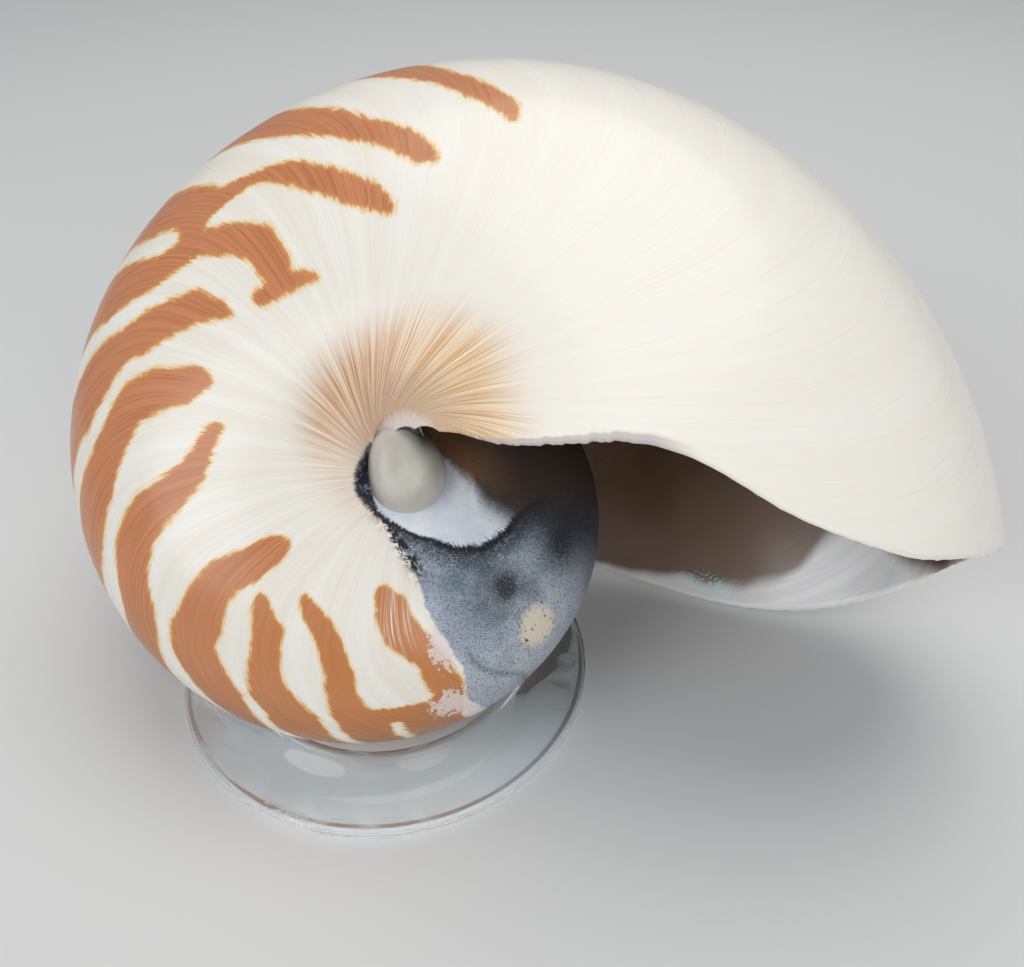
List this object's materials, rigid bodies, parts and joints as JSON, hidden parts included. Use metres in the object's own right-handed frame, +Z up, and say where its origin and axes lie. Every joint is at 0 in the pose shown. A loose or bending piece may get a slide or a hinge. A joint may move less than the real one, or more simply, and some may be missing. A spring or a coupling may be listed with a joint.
{
  "type": "nautilus shell in a display ring",
  "caption": "Coiled chambered sea shell with an open body chamber, striped brown on white, lying tilted in a clear moulded display ring.",
  "frame": {"origin": "middle of the underside of the object's box, on the surface that the ring stands on", "axes": "+X along the shell from its coil to its open mouth, +Y away from the viewer who sees its striped flank, +Z up"},
  "size_m": [0.1766, 0.1264, 0.1067],
  "materials": {
    "shell": "smooth porcelain-like shell, creamy white with ragged orange-brown stripes and a blue-grey film beside the coil's centre, pearly inside",
    "clear_ring": "clear polished moulded acrylic with fine handling scratches"
  },
  "bodies": {
    "root": {"nautilus_shell": "shell", "display_ring": "clear_ring"}
  },
  "joints": []
}
